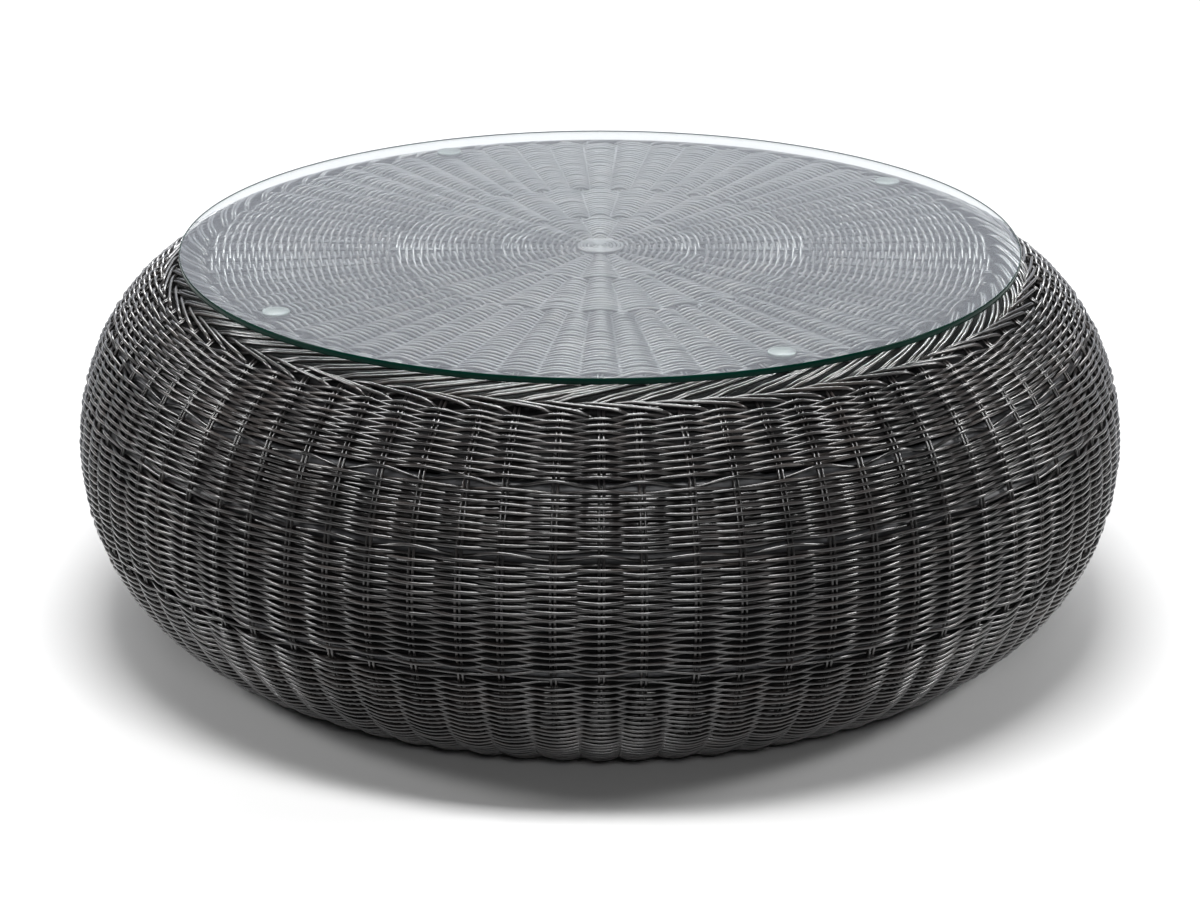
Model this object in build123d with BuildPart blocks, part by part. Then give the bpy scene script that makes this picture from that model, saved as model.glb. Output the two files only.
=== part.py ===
"""Round woven coffee table with a loose glass top.

Aluminium rings, ribs and bars carry a drum-shaped woven skin.  A clear glass disc lies on four soft pads.
Origin on the floor under the middle of the table, +Z up, millimetres.
"""
import os
from math import cos, radians, sin

from build123d import *

os.makedirs("parts", exist_ok=True)

# Driving dimensions
bulge_r = 360.0            # centre of the drum's elliptical bulge, from the table's axis
bulge_z = 180.0            # centre of the bulge, above the floor
bulge_out = 140.0          # half width of the bulge, so the belly's radius is 500
bulge_up = 177.0           # half height of the bulge
weave = 10.0               # stake with a strand on each side of it
fit_gap = 0.3              # between a round tube and the woven skin
joint_gap = 0.05           # between welded or seated faces

glass_r = 398.0
glass_thick = 6.0
glass_arris = 1.0
pad_r = 12.5
pad_thick = 2.7
pad_circle_r = 358.0
pad_turns = (36.0, 116.0, 216.0, 296.0)    # each pad's place, from the X axis

tube_r = 6.0               # ring tube
tube_wall = 1.5
drain_r = 1.5              # drain holes in the underside of each ring
drain_count = 4
drain_turn = 45.0
bar_thick = 5.0            # flat bar of the ribs and top bars
rib_deep = 22.0
bar_deep = 18.0
arm_count = 8              # ribs, top bars and glides
arm_turn = 22.5            # the arms stand this far from the X axis

# Places round the bulge, as angles up from its widest point
top_ring_at = 70.0
shoulder_ring_at = 41.0
upper_belly_ring_at = 19.5
lower_belly_ring_at = -17.3
base_ring_at = -84.0
border_from = 66.0         # lower edge of the rim border
panel_from = 85.0          # outer edge of the flat top weave
foot_from = -48.0          # upper edge of the foot course of the side weave
skin_to = -80.0            # lower edge of the side weave

hub_r = 65.0
hub_thick = 4.0
hub_boss_r = 13.0
bar_start_r = 14.0

border_half = 10.4         # half width of the rolled base border
border_round = 3.5
border_low = 4.0
glide_r = 9.0
glide_flange = 3.95
glide_edge = 0.8
spigot_r = 5.0
screw_r = 2.0
screw_head_r = 4.0
screw_head_thick = 2.4
screw_recess = 1.2         # the head sits this far up inside the glide
screw_long = 18.0


def point_on_bulge(inset, angle):
    """Distance from the table's axis and height of a point this far inside the outer skin."""
    out = bulge_r + (bulge_out - inset) * cos(radians(angle))
    up = bulge_z + (bulge_up - inset) * sin(radians(angle))
    return out, up


def bulge_band(outside, inside, low, high):
    """Flat outline of a band of the bulge, between two insets and between two angles."""
    with BuildSketch() as band:
        with BuildLine():
            outer = EllipticalCenterArc(
                (bulge_r, bulge_z), bulge_out - outside, bulge_up - outside, low, arc_size=high - low
            )
            inner = EllipticalCenterArc(
                (bulge_r, bulge_z), bulge_out - inside, bulge_up - inside, low, arc_size=high - low
            )
            Line(outer @ 0, inner @ 0)
            Line(outer @ 1, inner @ 1)
        make_face()
    return band.sketch


def finish(piece, name):
    """Label a finished piece and write its file."""
    piece.part.label = name
    export_step(piece.part, "parts/" + name + ".step")


# Worked-out sizes
tube_inset = weave + fit_gap + tube_r
rib_inset = weave + fit_gap
panel_r, panel_z = point_on_bulge(0, panel_from)
panel_under = point_on_bulge(weave, panel_from)[1]
bar_top = panel_under - fit_gap
pad_z = panel_z + joint_gap
glass_z = pad_z + pad_thick + joint_gap
top_ring_r, top_ring_z = point_on_bulge(tube_inset, top_ring_at)
base_ring_r, base_ring_z = point_on_bulge(tube_inset, base_ring_at)
notch_r = tube_r + joint_gap
border_high = base_ring_z - tube_r - fit_gap

# Glass top: a toughened disc with a small arris round both edges
with BuildPart() as glass_top:
    with BuildSketch(Plane.XY.offset(glass_z)):
        Circle(glass_r)
    extrude(amount=glass_thick)
    chamfer(glass_top.edges().filter_by(GeomType.CIRCLE), length=glass_arris)
finish(glass_top, "glass_top")

# Pads: soft discs stuck on the weave, with a rounded upper edge
for index, angle in enumerate(pad_turns):
    with BuildPart() as glass_pad:
        with BuildSketch(Plane.XY.offset(pad_z)):
            with PolarLocations(pad_circle_r, 1, start_angle=angle):
                Circle(pad_r)
        extrude(amount=pad_thick)
        fillet(glass_pad.edges().group_by(Axis.Z)[-1], radius=pad_thick / 3)
    finish(glass_pad, f"glass_pad_{index + 1}")

# Top weave: the flat woven panel inside the rim border
with BuildPart() as top_weave:
    with BuildSketch(Plane.XY.offset(panel_under)):
        Circle(panel_r)
    extrude(amount=panel_z - panel_under)
    with BuildSketch(Plane.XZ):
        add(bulge_band(-joint_gap, weave + joint_gap, border_from, panel_from))
    revolve(axis=Axis.Z, mode=Mode.SUBTRACT)
finish(top_weave, "top_weave")

# Rim border: the plaited roll round the shoulder
with BuildPart() as rim_border:
    with BuildSketch(Plane.XZ):
        add(bulge_band(0, weave, border_from, panel_from))
    revolve(axis=Axis.Z)
finish(rim_border, "rim_border")

# Side weave: the skin of the drum, in a course between each ring and the next and one for the foot
weave_courses = {
    "shoulder_weave": (shoulder_ring_at, border_from),
    "upper_weave": (upper_belly_ring_at, shoulder_ring_at),
    "belly_weave": (lower_belly_ring_at, upper_belly_ring_at),
    "lower_weave": (foot_from, lower_belly_ring_at),
    "foot_weave": (skin_to, foot_from),
}
for name, (low, high) in weave_courses.items():
    with BuildPart() as course:
        with BuildSketch(Plane.XZ):
            add(bulge_band(0, weave, low, high))
        revolve(axis=Axis.Z)
    finish(course, name)

# Base border: strands rolled under the base ring, with a way through for each glide
with BuildPart() as base_border:
    with BuildSketch(Plane.XZ):
        with Locations((base_ring_r, (border_low + border_high) / 2)):
            RectangleRounded(2 * border_half, border_high - border_low, radius=border_round)
        add(bulge_band(-joint_gap, weave + joint_gap, skin_to, border_from), mode=Mode.SUBTRACT)
    revolve(axis=Axis.Z)
    with BuildSketch():
        with PolarLocations(base_ring_r, arm_count, start_angle=arm_turn):
            Circle(spigot_r + fit_gap)
    extrude(amount=base_ring_z, mode=Mode.SUBTRACT)
finish(base_border, "base_border")

# Frame rings: bent tube, each with drain holes in its underside
ring_places = {
    "top_ring": top_ring_at,
    "shoulder_ring": shoulder_ring_at,
    "upper_belly_ring": upper_belly_ring_at,
    "lower_belly_ring": lower_belly_ring_at,
    "base_ring": base_ring_at,
}
for name, place in ring_places.items():
    ring_r, ring_z = point_on_bulge(tube_inset, place)
    with BuildPart() as ring:
        with BuildSketch(Plane.XZ):
            with Locations((ring_r, ring_z)):
                Circle(tube_r)
                Circle(tube_r - tube_wall, mode=Mode.SUBTRACT)
        revolve(axis=Axis.Z)
        with BuildSketch():
            with PolarLocations(ring_r, drain_count, start_angle=drain_turn):
                Circle(drain_r)
            if name == "base_ring":
                with PolarLocations(ring_r, arm_count, start_angle=arm_turn):
                    Circle(screw_r + joint_gap)
        extrude(amount=ring_z, mode=Mode.SUBTRACT)
    finish(ring, name)

# Hub: a flanged boss in the middle of the top frame
with BuildPart() as hub:
    with BuildSketch(Plane.XY.offset(bar_top - hub_thick)):
        Circle(hub_r)
    extrude(amount=hub_thick)
    with BuildSketch(Plane.XY.offset(bar_top - bar_deep)):
        Circle(hub_boss_r)
    extrude(amount=bar_deep - hub_thick)
finish(hub, "hub")

# Top bars: flat bars on edge from the hub's boss to a saddle on the top ring
bar_end_r = top_ring_r - tube_r / 2
bar_shoulder_r = panel_r - bar_thick
bar_tip_z = top_ring_z + tube_r + joint_gap
for index in range(arm_count):
    arm = Plane.XZ.rotated((0, 0, arm_turn + index * 360 / arm_count))
    with BuildPart() as top_bar:
        with BuildSketch(arm):
            with BuildLine():
                Polyline(
                    (bar_start_r, bar_top - bar_deep),
                    (bar_end_r, bar_top - bar_deep),
                    (bar_end_r, bar_tip_z),
                    (bar_shoulder_r, bar_top),
                    (hub_r + joint_gap, bar_top),
                    (hub_r + joint_gap, bar_top - hub_thick - joint_gap),
                    (bar_start_r, bar_top - hub_thick - joint_gap),
                    close=True,
                )
            make_face()
            with Locations((top_ring_r, top_ring_z)):
                Circle(notch_r, mode=Mode.SUBTRACT)
        extrude(amount=bar_thick / 2, both=True)
    finish(top_bar, f"top_bar_{index + 1}")

# Ribs: curved flat bars, notched for the three belly rings and saddled on the top and base rings
for index in range(arm_count):
    arm = Plane.XZ.rotated((0, 0, arm_turn + index * 360 / arm_count))
    with BuildPart() as rib:
        with BuildSketch(arm):
            add(bulge_band(rib_inset, rib_inset + rib_deep, base_ring_at, top_ring_at))
            for place in ring_places.values():
                with Locations(Location((*point_on_bulge(tube_inset, place), 0), (0, 0, place))):
                    Circle(notch_r, mode=Mode.SUBTRACT)
                    with Locations((notch_r, 0)):
                        Rectangle(2 * notch_r, 2 * notch_r, mode=Mode.SUBTRACT)
        extrude(amount=bar_thick / 2, both=True)
    finish(rib, f"rib_{index + 1}")

# Glides: plastic feet with a spigot up through the base border, counterbored for their screws
spigot_top = base_ring_z - tube_r - joint_gap
for index in range(arm_count):
    angle = arm_turn + index * 360 / arm_count
    with BuildPart() as glide:
        with BuildSketch():
            with PolarLocations(base_ring_r, 1, start_angle=angle):
                Circle(glide_r)
        extrude(amount=glide_flange)
        fillet(glide.edges().group_by(Axis.Z)[0], radius=glide_edge)
        with BuildSketch(Plane.XY.offset(glide_flange)):
            with PolarLocations(base_ring_r, 1, start_angle=angle):
                Circle(spigot_r)
        extrude(amount=spigot_top - glide_flange)
        with BuildSketch():
            with PolarLocations(base_ring_r, 1, start_angle=angle):
                Circle(screw_head_r + joint_gap)
        extrude(amount=screw_recess + screw_head_thick + joint_gap, mode=Mode.SUBTRACT)
        with BuildSketch():
            with PolarLocations(base_ring_r, 1, start_angle=angle):
                Circle(screw_r + joint_gap)
        extrude(amount=spigot_top, mode=Mode.SUBTRACT)
    finish(glide, f"glide_{index + 1}")

# Glide screws: one for each glide, turned up into the base ring
with BuildPart() as glide_screws:
    with BuildSketch(Plane.XY.offset(screw_recess)):
        with PolarLocations(base_ring_r, arm_count, start_angle=arm_turn):
            Circle(screw_head_r)
    extrude(amount=screw_head_thick)
    with BuildSketch(Plane.XY.offset(screw_recess + screw_head_thick)):
        with PolarLocations(base_ring_r, arm_count, start_angle=arm_turn):
            Circle(screw_r)
    extrude(amount=screw_long)
finish(glide_screws, "glide_screws")
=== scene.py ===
"""Looks of a round woven coffee table with a loose glass top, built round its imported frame."""
from math import asin, degrees, hypot, pi, radians

import bmesh
import bpy
import numpy as np
from mathutils import Matrix, Vector


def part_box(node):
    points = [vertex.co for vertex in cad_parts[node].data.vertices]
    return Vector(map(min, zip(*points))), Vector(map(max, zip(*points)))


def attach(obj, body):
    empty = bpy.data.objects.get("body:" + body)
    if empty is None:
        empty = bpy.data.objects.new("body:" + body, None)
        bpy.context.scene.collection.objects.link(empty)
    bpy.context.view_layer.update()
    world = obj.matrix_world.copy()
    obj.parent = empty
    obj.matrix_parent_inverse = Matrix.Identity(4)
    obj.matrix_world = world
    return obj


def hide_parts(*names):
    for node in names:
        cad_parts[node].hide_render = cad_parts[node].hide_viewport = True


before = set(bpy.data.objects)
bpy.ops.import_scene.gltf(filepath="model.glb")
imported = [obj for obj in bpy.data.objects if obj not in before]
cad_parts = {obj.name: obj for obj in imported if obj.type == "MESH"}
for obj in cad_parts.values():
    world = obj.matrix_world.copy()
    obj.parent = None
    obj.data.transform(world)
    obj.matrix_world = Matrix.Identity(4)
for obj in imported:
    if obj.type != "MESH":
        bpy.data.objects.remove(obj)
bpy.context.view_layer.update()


# ------------------------------------------------------------------ Metal frame
# Bent tube rings, notched flat ribs and top bars, and a flanged hub, all of aluminium and welded.
# The whole frame is powder coated dark grey after welding: a satin coat with a fine orange peel.
def new_material(name):
    """A material, its node tree and its shader."""
    material = bpy.data.materials.new(name)
    material.use_nodes = True
    return material, material.node_tree, material.node_tree.nodes["Principled BSDF"]


def noise(tree, source, scale, detail=3.0):
    """Noise over the coordinates that a socket gives, as a socket from 0 to 1."""
    texture = tree.nodes.new("ShaderNodeTexNoise")
    texture.inputs["Scale"].default_value = scale
    texture.inputs["Detail"].default_value = detail
    tree.links.new(source, texture.inputs["Vector"])
    return texture.outputs["Fac"]


def ramp(tree, factor, *stops):
    """Colours spread over a factor. Each stop is its place and its grey or colour."""
    spread = tree.nodes.new("ShaderNodeValToRGB")
    tree.links.new(factor, spread.inputs["Fac"])
    elements = spread.color_ramp.elements
    while len(elements) < len(stops):
        elements.new(0.5)
    for element, (place, colour) in zip(elements, stops):
        element.position = place
        element.color = (*colour, 1) if isinstance(colour, tuple) else (colour, colour, colour, 1)
    return spread.outputs["Color"]


def bump(tree, shader, height, depth):
    """Relief on a shader, from a height socket and its depth in metres."""
    relief = tree.nodes.new("ShaderNodeBump")
    relief.inputs["Distance"].default_value = depth
    tree.links.new(height, relief.inputs["Height"])
    tree.links.new(relief.outputs["Normal"], shader.inputs["Normal"])


def own_place(tree):
    """The piece's own coordinates, as a socket."""
    return tree.nodes.new("ShaderNodeTexCoord").outputs["Object"]


coat, tree, shader = new_material("grey_powder_coat")
place = own_place(tree)
tree.links.new(
    ramp(tree, noise(tree, place, 14), (0.3, (0.040, 0.041, 0.045)), (0.7, (0.058, 0.059, 0.063))),
    shader.inputs["Base Color"],
)
tree.links.new(ramp(tree, noise(tree, place, 60), (0.3, 0.42), (0.7, 0.55)), shader.inputs["Roughness"])
bump(tree, shader, noise(tree, place, 900, 1.0), 0.00008)

RINGS = ("top_ring", "shoulder_ring", "upper_belly_ring", "lower_belly_ring", "base_ring")
ARMS = range(1, 9)


def finish_node(name, material, smooth=False):
    """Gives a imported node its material."""
    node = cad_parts[name]
    node.data.materials.clear()
    node.data.materials.append(material)
    if smooth:
        node.data.shade_smooth()


for name in (*RINGS, "hub", *(f"{kind}_{arm}" for kind in ("top_bar", "rib") for arm in ARMS)):
    finish_node(name, coat)


# ------------------------------------------------------------------ Glides and their screws
# Black moulded plastic feet under the base ring, each held by a plain stainless pan-head screw.
# The plastic has a fine moulded grain and a tone that varies a little at random.
plastic, tree, shader = new_material("black_moulded_plastic")
place = own_place(tree)
tree.links.new(
    ramp(tree, noise(tree, place, 180), (0.35, (0.014, 0.014, 0.014)), (0.75, (0.030, 0.029, 0.028))),
    shader.inputs["Base Color"],
)
shader.inputs["Roughness"].default_value = 0.55
bump(tree, shader, noise(tree, place, 1600, 2.0), 0.00006)

steel, tree, shader = new_material("stainless_screw")
shader.inputs["Metallic"].default_value = 1.0
place = own_place(tree)
tree.links.new(
    ramp(tree, noise(tree, place, 400), (0.3, (0.48, 0.48, 0.47)), (0.7, (0.60, 0.60, 0.59))),
    shader.inputs["Base Color"],
)
tree.links.new(ramp(tree, noise(tree, place, 900), (0.3, 0.25), (0.7, 0.4)), shader.inputs["Roughness"])
for arm in ARMS:
    finish_node(f"glide_{arm}", plastic)
finish_node("glide_screws", steel)


# ------------------------------------------------------------------ Side stakes
# Pairs of round polyethylene rods that run down the drum, from under the rim border to the foot.
# They are pressed and bent by hand over the rings, so their spacing wanders a little.
weave = 0.010
strand_r = 0.0016
stake_r = 0.0013
stake_half_gap = 0.0020
strand_sides = 6
stake_count = 76
belly_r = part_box("belly_weave")[1].x
bulge_out = 0.140
bulge_up = 0.177
bulge_r = belly_r - bulge_out
bulge_z = 0.180
chance = np.random.default_rng(11)
stake_wander = 0.0042
stake_turns = np.arange(stake_count) * 2 * pi / stake_count
stake_shifts = chance.normal(0, stake_wander, stake_count)


def on_bulge(turn, climb, lift):
    """Points of the woven skin: turn round the table, climb up the bulge, lift out from the skin's middle."""
    out = bulge_r + (bulge_out - weave / 2 + lift) * np.cos(climb)
    up = bulge_z + (bulge_up - weave / 2 + lift) * np.sin(climb)
    return np.stack([out * np.cos(turn), out * np.sin(turn), up], axis=-1)


def as_woven(turn):
    """Where an evenly spaced turn falls once the stakes have wandered."""
    return turn + np.interp(turn, stake_turns, stake_shifts, period=2 * pi)


climb_marks = np.radians(np.linspace(90, -80, 1701))
marks = on_bulge(0 * climb_marks, climb_marks, 0 * climb_marks)
arc_marks = np.concatenate([[0], np.cumsum(np.linalg.norm(np.diff(marks, axis=0), axis=1))])


def climb_at(arc):
    """How far up the bulge a point is, from its distance down the skin."""
    return np.interp(arc, arc_marks, climb_marks)


def arc_at(angle):
    """Distance down the skin to a place on the bulge, which is an angle up from its widest point."""
    return np.interp(-radians(angle), -climb_marks, arc_marks)


def straight_rods(count, steps, radius):
    """A bmesh of rods that all lie from 0 to 1 on X, numbered in a layer."""
    bm = bmesh.new()
    number = bm.verts.layers.float.new("strand")
    lying = Matrix.Translation((0.5, 0, 0)) @ Matrix.Rotation(pi / 2, 4, "Y")
    for index in range(count):
        rod = bmesh.ops.create_cone(
            bm, cap_ends=True, segments=strand_sides, radius1=radius, radius2=radius, depth=1, matrix=lying
        )
        for vert in rod["verts"]:
            vert[number] = index
    long_edges = [edge for edge in bm.edges if edge.calc_length() > 0.5]
    bmesh.ops.subdivide_edges(bm, edges=long_edges, cuts=steps - 1)
    return bm


def laid(bm, name, lay, body, *nodes, first=0):
    """Makes a piece of a bmesh once its points are laid where lay(number, x, y, z) says."""
    mesh = bpy.data.meshes.new(name)
    bmesh.ops.recalc_face_normals(bm, faces=bm.faces)
    bm.to_mesh(mesh)
    bm.free()
    points = np.empty(len(mesh.vertices) * 3)
    mesh.vertices.foreach_get("co", points)
    number = np.empty(len(mesh.vertices))
    mesh.attributes["strand"].data.foreach_get("value", number)
    number = np.rint(number).astype(int)
    points = lay(number, *points.reshape(-1, 3).T)
    mesh.vertices.foreach_set("co", points.ravel())
    mesh.attributes["strand"].data.foreach_set("value", number + first)
    mesh.shade_smooth()
    mesh.update()
    piece = bpy.data.objects.new(name, mesh)
    bpy.context.scene.collection.objects.link(piece)
    piece.data.materials.append(strand_finish)
    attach(piece, body)
    if nodes:
        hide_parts(*nodes)
    return piece


strand_finish, tree, shader = new_material("charcoal_strand")
place = own_place(tree)
number = tree.nodes.new("ShaderNodeAttribute")
number.attribute_name = "strand"
each = tree.nodes.new("ShaderNodeTexWhiteNoise")
each.noise_dimensions = "1D"
tree.links.new(number.outputs["Fac"], each.inputs["W"])
mix = tree.nodes.new("ShaderNodeMath")
mix.operation = "MULTIPLY_ADD"
mix.inputs[1].default_value = 0.45
tree.links.new(each.outputs["Value"], mix.inputs[0])
tree.links.new(noise(tree, place, 22, 2.0), mix.inputs[2])
tree.links.new(
    ramp(
        tree,
        mix.outputs["Value"],
        (0.40, (0.002, 0.002, 0.002)),
        (0.62, (0.007, 0.006, 0.006)),
        (0.80, (0.014, 0.012, 0.012)),
        (1.00, (0.030, 0.025, 0.023)),
    ),
    shader.inputs["Base Color"],
)
tree.links.new(ramp(tree, noise(tree, place, 130), (0.3, 0.28), (0.7, 0.40)), shader.inputs["Roughness"])
shader.inputs["Specular IOR Level"].default_value = 0.3
bump(tree, shader, noise(tree, place, 700, 2.0), 0.00010)
shader.inputs["Coat Weight"].default_value = 1.0
shader.inputs["Coat Roughness"].default_value = 0.16

skin_foot = arc_at(-80)
stakes_from = arc_at(69)


def lay_stake(number, along, side, deep):
    """Two rods to a stake, side by side, down the drum."""
    pair, which = np.divmod(number, 2)
    climb = climb_at(stakes_from + along * (skin_foot - stakes_from))
    out = bulge_r + bulge_out * np.cos(climb)
    across = side + (2 * which - 1) * stake_half_gap
    return on_bulge(stake_turns[pair] + stake_shifts[pair] + across / out, climb, deep)


laid(straight_rods(2 * stake_count, 36, stake_r), "side_stakes", lay_stake, "table")


# ------------------------------------------------------------------ Side strands
# Round charcoal strand woven in front of one stake and behind the next, row on row down the drum.
# At each belly ring one row lies on its own, with a gap above and below it where the ring shows through.
row_pitch = 0.00333
steps_per_stake = 6
row_slip = 0.00045
slip_carried = 0.6
open_row_gap = 0.0026
open_row_rise = 0.0022


def wind_rows(name, rows, posts, first, *nodes):
    """A piece of strand wound round posts. A row is where it runs, which way it faces, its swing and rise."""
    table = np.array(rows)
    bm = bmesh.new()
    number = bm.verts.layers.float.new("strand")
    section = Matrix.Translation((1, 0, 0)) @ Matrix.Rotation(pi / 2, 4, "X")
    bmesh.ops.create_circle(bm, cap_ends=False, segments=strand_sides, radius=strand_r, matrix=section)
    bmesh.ops.spin(
        bm,
        geom=[*bm.verts, *bm.edges],
        cent=(0, 0, 0),
        axis=(0, 0, 1),
        dvec=(0, 0, 0),
        angle=2 * pi,
        steps=posts * steps_per_stake,
        use_merge=True,
        use_duplicate=False,
    )
    plain_ring = [*bm.verts, *bm.edges, *bm.faces]
    for index in range(1, len(rows)):
        for part in bmesh.ops.duplicate(bm, geom=plain_ring)["geom"]:
            if isinstance(part, bmesh.types.BMVert):
                part[number] = index
    slips = chance.normal(0, row_slip, (len(rows), posts))
    for index in range(1, len(rows)):
        slips[index] += slip_carried * slips[index - 1]
    swings = np.clip(chance.normal(0.95, 0.08, (len(rows), posts)), 0.7, 1.05)

    def lay_row(row, x, y, z):
        turn = np.arctan2(y, x) % (2 * pi)
        post = turn * posts / (2 * pi)
        before = np.floor(post).astype(int) % posts
        after = (before + 1) % posts
        share = (1 - np.cos(pi * (post % 1))) / 2
        slip = slips[row, before] * (1 - share) + slips[row, after] * share
        swing = swings[row, before] * (1 - share) + swings[row, after] * share
        over = np.cos(pi * (post + row + first))
        facing, reach, rise = table[row, 2], table[row, 3], table[row, 4]
        lift = over * swing * reach
        slide = slip + rise * over
        out = table[row, 0] + np.hypot(x, y) - 1 + lift * np.cos(facing) - slide * np.sin(facing)
        up = table[row, 1] + z + lift * np.sin(facing) + slide * np.cos(facing)
        wandered = as_woven(turn) if posts == stake_count else turn
        return np.stack([out * np.cos(wandered), out * np.sin(wandered), up], axis=-1)

    return laid(bm, name, lay_row, "table", *nodes, first=first)


def bulge_row(arc, lift=0.0, reach=weave / 2 - strand_r, rise=0.0):
    """A row round the bulge, this far down the skin."""
    climb = climb_at(arc)
    out, _, up = on_bulge(0.0, climb, lift)
    facing = np.arctan2(bulge_out * np.sin(climb), bulge_up * np.cos(climb))
    return float(out), float(up), float(facing), reach, rise


def ring_arc(name):
    """Distance down the skin to a frame ring."""
    low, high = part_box(name)
    inset = weave + 0.0003 + (high.z - low.z) / 2
    return arc_at(degrees(asin(((low.z + high.z) / 2 - bulge_z) / (bulge_up - inset))))


foot_from = arc_at(-48)
courses = {
    "shoulder": (arc_at(66), ring_arc("shoulder_ring")),
    "upper": (ring_arc("shoulder_ring"), ring_arc("upper_belly_ring")),
    "belly": (ring_arc("upper_belly_ring"), ring_arc("lower_belly_ring")),
    "lower": (ring_arc("lower_belly_ring"), foot_from),
    "foot": (foot_from, skin_foot),
}
first_row = 0
for course, (top, bottom) in courses.items():
    rows = [bulge_row(top, rise=open_row_rise)] if course in ("upper", "belly", "lower") else []
    start = top + (open_row_gap + row_pitch if rows else row_pitch / 2)
    end = bottom - (row_pitch / 2 if course in ("lower", "foot") else open_row_gap + row_pitch)
    rows += [bulge_row(arc) for arc in np.linspace(start, end, round((end - start) / row_pitch) + 1)]
    wind_rows(f"side_strands_{course}", rows, stake_count, first_row, f"{course}_weave")
    first_row += len(rows)


# ------------------------------------------------------------------ Top panel
# Flat woven panel under the glass: pairs of spokes that start as sixteen and double twice.
# Strand is woven round them from a coiled middle out to the rim border.
panel_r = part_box("top_weave")[1].x
panel_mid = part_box("top_weave")[1].z - weave / 2
spoke_zones = ((0.0, 16), (0.100, 32), (0.198, 64))
panel_pitch = 0.00343
coil_r = 0.022
coil_posts = 8
spoke_in = 0.006
full_swing_r = 0.05
spread_spokes_r = 0.03


def spoke_starts():
    """The turn and the inner end of each spoke."""
    starts = []
    for start, count in spoke_zones:
        known = [turn for turn, _ in starts]
        for index in range(count):
            turn = index * 2 * pi / count
            if not any(abs(turn - other) < 1e-6 for other in known):
                starts.append((turn, max(start - panel_pitch, spoke_in)))
    return np.array(starts)


spokes = spoke_starts()


def lay_spoke(number, along, side, deep):
    """Two rods to a spoke, side by side, from the middle out to the rim."""
    pair, which = np.divmod(number, 2)
    turn, start = spokes[pair, 0], spokes[pair, 1]
    out = start + along * (panel_r - start)
    spread = np.minimum(1, out / spread_spokes_r)
    across = side + (2 * which - 1) * stake_half_gap * spread
    return np.stack(
        [
            out * np.cos(turn) - across * np.sin(turn),
            out * np.sin(turn) + across * np.cos(turn),
            panel_mid + deep,
        ],
        axis=-1,
    )


laid(straight_rods(2 * len(spokes), 2, stake_r), "top_spokes", lay_spoke, "table", first=500)

zone_ends = [zone[0] for zone in spoke_zones[1:]] + [panel_r]
for index, ((start, posts), end) in enumerate(zip(spoke_zones, zone_ends)):
    rows = []
    out = max(start, coil_r) + panel_pitch / 2
    while out < end - strand_r:
        reach = (weave / 2 - strand_r) * min(1, out / full_swing_r)
        rows.append((out, panel_mid, pi / 2, reach, 0.0))
        out += panel_pitch
    half = len(rows) // 2 if index == len(spoke_zones) - 1 else len(rows)
    for part, some in enumerate((rows[:half], rows[half:])):
        if some:
            name = f"top_strands_{posts}" + ("_outer" if part else "")
            nodes = [] if index else ["top_weave"]
            wind_rows(name, some, posts, 1000 * (index + 1) + part * half, *nodes)

coil_rows = []
out = strand_r
while out < coil_r:
    coil_rows.append((out, panel_mid + weave / 2 - strand_r, pi / 2, 0.0, 0.0))
    out += 2 * strand_r
wind_rows("top_coil", coil_rows, coil_posts, 5000)


# ------------------------------------------------------------------ Painted shade sheet
# A sheet painted near black behind the stakes and under the top panel: painted shade that stands in for the
# dark inside of the drum.
# It also keeps light out of the drum. It is in bands from ring to ring, so that the gaps of the weave look
# black and each belly ring still shows.
shade_sheet_finish, tree, shader = new_material("painted_shade_black")
place = own_place(tree)
# Painted shade: this near-black colour stands in for the shade inside the drum.
tree.links.new(
    ramp(tree, noise(tree, place, 260), (0.3, (0.0012, 0.0012, 0.0014)), (0.7, (0.003, 0.003, 0.0034))),
    shader.inputs["Base Color"],
)
shader.inputs["Roughness"].default_value = 0.9
shader.inputs["Specular IOR Level"].default_value = 0.15
bump(tree, shader, noise(tree, place, 1400, 1.0), 0.0001)

shade_sheet_lift = strand_r - weave / 2
ring_slot = 0.0052
shade_sheet_cell = 0.008
shade_sheet_merge = 0.0004
shade_sheet_edges = [0.0]
for name in ("shoulder_ring", "upper_belly_ring", "lower_belly_ring"):
    shade_sheet_edges += [ring_arc(name) - ring_slot, ring_arc(name) + ring_slot]
shade_sheet_edges.append(skin_foot)
shade_sheet_bands = [(shade_sheet_edges[0], shade_sheet_edges[1]), *zip(shade_sheet_edges[2::2], shade_sheet_edges[3::2])]

bm = bmesh.new()
for top, bottom in shade_sheet_bands:
    known = len(bm.verts)
    cells = round((bottom - top) / shade_sheet_cell)
    bmesh.ops.create_grid(bm, x_segments=2 * stake_count, y_segments=cells, size=0.5)
    bm.verts.ensure_lookup_table()
    for vert in bm.verts[known:]:
        turn = (vert.co.x + 0.5) * 2 * pi
        vert.co = on_bulge(turn, climb_at(top + (vert.co.y + 0.5) * (bottom - top)), shade_sheet_lift)
under_panel = Matrix.Translation((0, 0, panel_mid + shade_sheet_lift))
bmesh.ops.create_circle(bm, cap_ends=True, segments=2 * stake_count, radius=bulge_r, matrix=under_panel)
bmesh.ops.remove_doubles(bm, verts=bm.verts, dist=shade_sheet_merge)
bmesh.ops.recalc_face_normals(bm, faces=bm.faces)
# The sheet of painted shade, as one mesh.
mesh = bpy.data.meshes.new("painted_shade_sheet")
bm.to_mesh(mesh)
bm.free()
mesh.shade_smooth()
mesh.materials.append(shade_sheet_finish)
shade_sheet = bpy.data.objects.new("painted_shade_sheet", mesh)
bpy.context.scene.collection.objects.link(shade_sheet)
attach(shade_sheet, "table")


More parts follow.
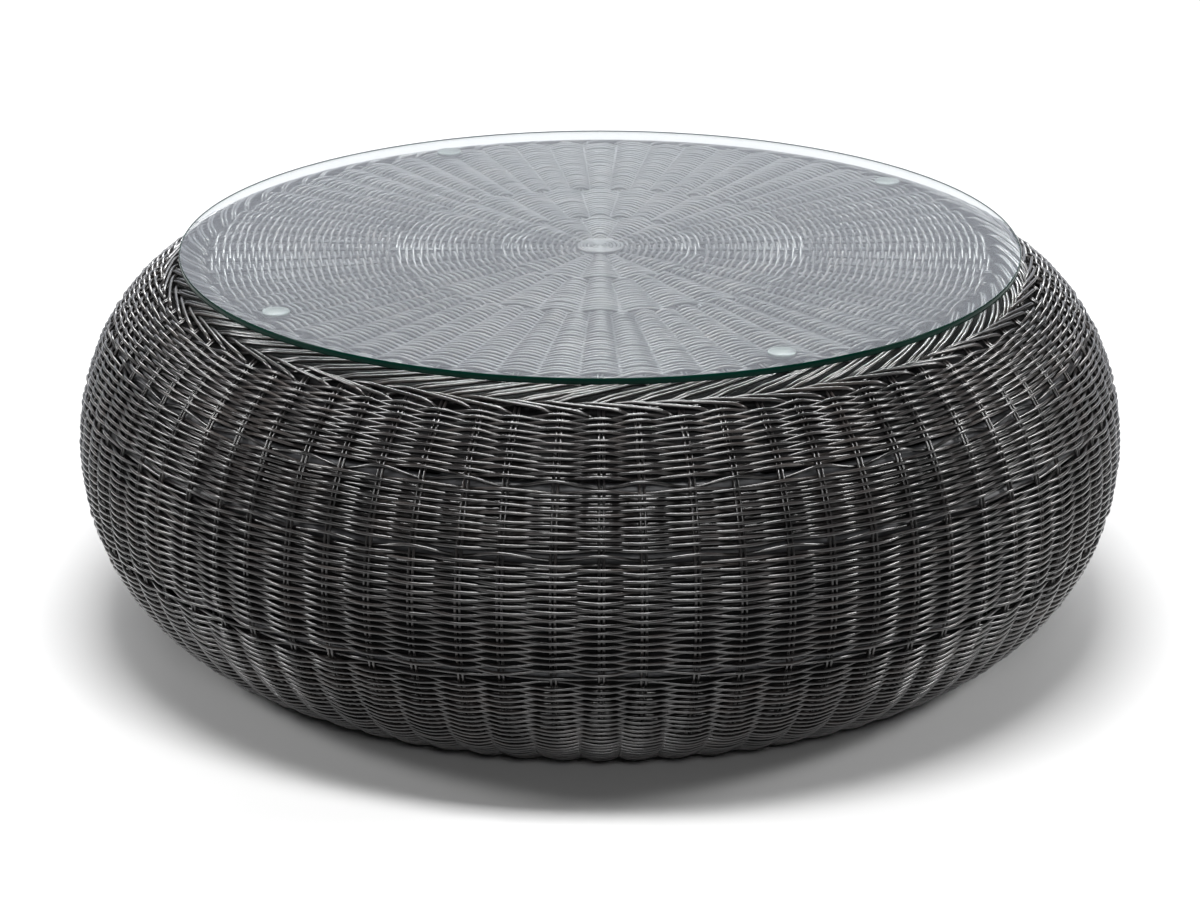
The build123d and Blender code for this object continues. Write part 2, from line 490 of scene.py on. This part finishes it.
# ------------------------------------------------------------------ Rim border
# A plait round the shoulder. From a line just outside the glass, single strands sweep out and tuck in
# under the first side row, and pairs sweep in below the glass. Each arm starts under the others.
plait_bend = 0.138         # radius of the shoulder's curve down the bulge
rim_r = 0.412              # from the table's axis to the plait
arm_lead = 0.4             # share of its sweep that an arm starts ahead of its stake
arm_rise = 0.34            # share of its length over which an arm comes up from under the others
arm_tuck = 0.14            # share of its length at the end that is tucked in
arm_gap = 1.03             # centres of an arm's strands, in strand widths
plait_sways = chance.normal(0, 1, (2, stake_count, 3))


def lay_arm(number, along, side, deep, rods, inward, sweep, start, end):
    """Strands of a plait's arm, side by side, sweeping round the rim between two places on the bulge."""
    arm, which = np.divmod(number, rods)
    pitch = 2 * pi / stake_count
    sways = plait_sways[inward, arm].T
    own = np.sin(number * 2.4 + along * 5)
    run = (end - start) * plait_bend
    reach = (sweep + 0.12 * sways[0]) * pitch
    slope = run / hypot(run, sweep * pitch * rim_r)
    across = side + (which - (rods - 1) / 2) * 2 * strand_r * arm_gap
    turn = as_woven(stake_turns[arm] + inward * pitch / 2 - reach * arm_lead)
    turn = turn + reach * along - across * slope / rim_r
    eased = along**1.3 if inward else 0.86 * along + 0.14 * along**6
    climb = start + (end - start) * eased + across / plait_bend + 0.005 * sways[1] + 0.003 * own
    rise = np.clip(along / arm_rise, 0, 1)
    tuck = np.clip((along - (1 - arm_tuck)) / arm_tuck, 0, 1) ** 2
    lift = (weave / 2 - strand_r) * (2 * rise - 1 - 1.4 * tuck) * 0.96 + deep
    return on_bulge(turn, climb, lift)


def lay_outward(number, along, side, deep):
    """Single strands that sweep out and tuck in under the first side row."""
    return lay_arm(number, along, side, deep, 1, 0, 3.0, radians(73), radians(66.2))


def lay_inward(number, along, side, deep):
    """Pairs of strand that sweep in below the glass."""
    return lay_arm(number, along, side, deep, 2, 1, 3.3, radians(70.0), radians(84))


arm_steps = 20
outward_rods = straight_rods(stake_count, arm_steps, strand_r)
inward_rods = straight_rods(2 * stake_count, arm_steps, strand_r)
laid(outward_rods, "rim_plait_out", lay_outward, "table", "rim_border", first=6000)
laid(inward_rods, "rim_plait_in", lay_inward, "table", first=7000)


# ------------------------------------------------------------------ Base border
# The foot of the weave: stakes turned in under the base ring, over strands that run round below it.
ring_low, ring_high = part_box("base_ring")
tube_r = (ring_high.z - ring_low.z) / 2
tube_z = (ring_high.z + ring_low.z) / 2
tube_out = ring_high.x - tube_r
foot_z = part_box("base_border")[0].z + weave / 2
foot_out_reach = 0.009
foot_in_reach = 0.0085
lashing_from = radians(-50)
lashing_turn = radians(190)
lashing_gap = 0.0003
foot_rows = []
for out in np.arange(tube_out + foot_out_reach, tube_out - foot_in_reach, -row_pitch):
    foot_rows.append((float(out), foot_z, -pi / 2, weave / 2 - strand_r, 0.0))
wind_rows("foot_strands", foot_rows, stake_count, first_row, "base_border")


def lay_lashing(number, along, side, deep):
    """Two rods to a stake, turned in under the base ring and up behind it."""
    pair, which = np.divmod(number, 2)
    swing = lashing_from - along * lashing_turn
    wrap = tube_z - foot_z - along * (tube_z - foot_z - tube_r - stake_r - lashing_gap) + deep
    out = tube_out + wrap * np.cos(swing)
    up = tube_z + wrap * np.sin(swing)
    turn = stake_turns[pair] + stake_shifts[pair] + (side + (2 * which - 1) * stake_half_gap) / tube_out
    return np.stack([out * np.cos(turn), out * np.sin(turn), up], axis=-1)


laid(straight_rods(2 * stake_count, 12, stake_r), "foot_lashings", lay_lashing, "table", first=9000)


# ------------------------------------------------------------------ Glass pads
# Soft translucent discs stuck on the weave, which keep the glass from slipping and rattling.
silicone, tree, shader = new_material("milky_silicone")
shader.inputs["Roughness"].default_value = 0.35
shader.inputs["Subsurface Weight"].default_value = 0.4
shader.inputs["Subsurface Radius"].default_value = (0.006, 0.007, 0.006)
place = own_place(tree)
tree.links.new(
    ramp(tree, noise(tree, place, 90), (0.3, (0.034, 0.040, 0.036)), (0.7, (0.048, 0.055, 0.050))),
    shader.inputs["Base Color"],
)
bump(tree, shader, noise(tree, place, 500), 0.0001)
pad_round = 0.001
for index in range(1, 5):
    low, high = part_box(f"glass_pad_{index}")
    middle = (low + high) / 2
    bm = bmesh.new()
    bmesh.ops.create_cone(
        bm,
        cap_ends=True,
        segments=40,
        radius1=(high.x - low.x) / 2,
        radius2=(high.x - low.x) / 2,
        depth=high.z - low.z,
        matrix=Matrix.Translation(middle),
    )
    upper = [edge for edge in bm.edges if min(vert.co.z for vert in edge.verts) > middle.z]
    bmesh.ops.bevel(
        bm,
        geom=upper,
        offset=pad_round,
        offset_type="OFFSET",
        segments=3,
        profile=0.5,
        affect="EDGES",
        material=-1,
    )
    mesh = bpy.data.meshes.new(f"pad_{index}")
    bm.to_mesh(mesh)
    bm.free()
    mesh.shade_smooth()
    pad = bpy.data.objects.new(f"pad_{index}", mesh)
    bpy.context.scene.collection.objects.link(pad)
    mesh.materials.append(silicone)
    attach(pad, "table")
    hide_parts(f"glass_pad_{index}")


# ------------------------------------------------------------------ Glass top
# A loose disc of clear toughened float glass, with its edge ground, polished and lightly arrised.
# Seen through its edge the glass is deep green. It lies on the pads by its own weight.
glass_low, glass_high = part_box("glass_top")
glass_r = glass_high.x
glass_arris = 0.0008
bm = bmesh.new()
bmesh.ops.create_cone(
    bm,
    cap_ends=True,
    segments=256,
    radius1=glass_r,
    radius2=glass_r,
    depth=glass_high.z - glass_low.z,
    matrix=Matrix.Translation((0, 0, (glass_high.z + glass_low.z) / 2)),
)
rims = [edge for edge in bm.edges if abs(edge.verts[0].co.z - edge.verts[1].co.z) < 1e-6]
bmesh.ops.bevel(
    bm,
    geom=rims,
    offset=glass_arris,
    offset_type="OFFSET",
    segments=2,
    profile=0.5,
    affect="EDGES",
    material=-1,
)
for face in bm.faces:
    face.material_index = 0 if abs(face.normal.z) > 0.99 else 1
    face.smooth = abs(face.normal.z) < 0.99
mesh = bpy.data.meshes.new("glass_disc")
bm.to_mesh(mesh)
bm.free()

clear, tree, shader = new_material("clear_glass")
shader.inputs["Base Color"].default_value = (0.94, 0.965, 0.965, 1)
shader.inputs["Roughness"].default_value = 0.0
shader.inputs["IOR"].default_value = 1.52
shader.inputs["Transmission Weight"].default_value = 1.0
lamp_rays = tree.nodes.new("ShaderNodeLightPath")
lets_lamps_in = tree.nodes.new("ShaderNodeBsdfTransparent")
lets_lamps_in.inputs["Color"].default_value = (0.86, 0.91, 0.89, 1)
either = tree.nodes.new("ShaderNodeMixShader")
tree.links.new(lamp_rays.outputs["Is Shadow Ray"], either.inputs["Fac"])
tree.links.new(shader.outputs["BSDF"], either.inputs[1])
tree.links.new(lets_lamps_in.outputs["BSDF"], either.inputs[2])
tree.links.new(either.outputs["Shader"], tree.nodes["Material Output"].inputs["Surface"])

green_edge, tree, shader = new_material("green_glass_edge")
shader.inputs["Roughness"].default_value = 0.12
shader.inputs["Specular IOR Level"].default_value = 0.05
place = own_place(tree)
tree.links.new(
    ramp(tree, noise(tree, place, 9), (0.3, (0.000, 0.011, 0.007)), (0.7, (0.001, 0.018, 0.012))),
    shader.inputs["Base Color"],
)
mesh.materials.append(clear)
mesh.materials.append(green_edge)
glass = bpy.data.objects.new("glass_disc", mesh)
bpy.context.scene.collection.objects.link(glass)
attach(glass, "glass")
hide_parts("glass_top")


# ------------------------------------------------------------------ Floor, light and camera
# A plain pale floor with softboxes overhead, to the sides, in front and behind. One more, the backdrop
# light, is over the floor behind the table, so that the floor stays pale far behind it.
floor_finish, tree, shader = new_material("pale_floor")
shader.inputs["Base Color"].default_value = (0.52, 0.52, 0.52, 1)
shader.inputs["Roughness"].default_value = 0.8
bm = bmesh.new()
bmesh.ops.create_grid(bm, x_segments=1, y_segments=1, size=12)
mesh = bpy.data.meshes.new("floor")
bm.to_mesh(mesh)
bm.free()
mesh.materials.append(floor_finish)
floor = bpy.data.objects.new("floor", mesh)
bpy.context.scene.collection.objects.link(floor)

world = bpy.data.worlds.new("studio")
world.use_nodes = True
world.node_tree.nodes["Background"].inputs["Color"].default_value = (1, 1, 1, 1)
world.node_tree.nodes["Background"].inputs["Strength"].default_value = 0.04
bpy.context.scene.world = world


def softbox(name, place, width, height, power, aim=(0, 0, 0.2), colour=(1, 1, 1)):
    """A rectangular area light at a place, aimed at a point, which is the table's middle unless given."""
    lamp = bpy.data.lights.new(name, "AREA")
    lamp.color = colour
    lamp.shape = "RECTANGLE"
    lamp.size = width
    lamp.size_y = height
    lamp.energy = power
    holder = bpy.data.objects.new(name, lamp)
    holder.location = place
    holder.rotation_euler = (Vector(aim) - Vector(place)).to_track_quat("-Z", "Y").to_euler()
    bpy.context.scene.collection.objects.link(holder)


softbox("overhead", (-0.1, -0.6, 2.7), 1.5, 0.5, 112)
softbox("left", (-2.5, -0.2, 1.6), 0.7, 0.6, 40)
softbox("right", (2.5, -0.2, 1.6), 0.7, 0.6, 50)
softbox("front", (0.2, -3.6, 2.0), 1.2, 0.5, 34)
softbox("top_back", (0, 2.6, 2.4), 2.2, 0.5, 46)
softbox("behind", (0, 5.0, 2.1), 7.0, 3.0, 48, colour=(0.86, 0.90, 1.0))
softbox("backdrop", (0, 3.2, 3.0), 6.0, 0.8, 170, aim=(0, 3.6, 0))

camera = bpy.data.cameras.new("camera")
camera.sensor_width = 36
camera.lens = 101.85
camera.clip_start = 0.1
camera.clip_end = 60
viewer = bpy.data.objects.new("camera", camera)
viewer.location = (0, -3.094, 1.3094)
viewer.rotation_euler = (radians(90 - 20.52), 0, 0)
bpy.context.scene.collection.objects.link(viewer)
bpy.context.scene.camera = viewer
bpy.context.scene.view_settings.view_transform = "Standard"
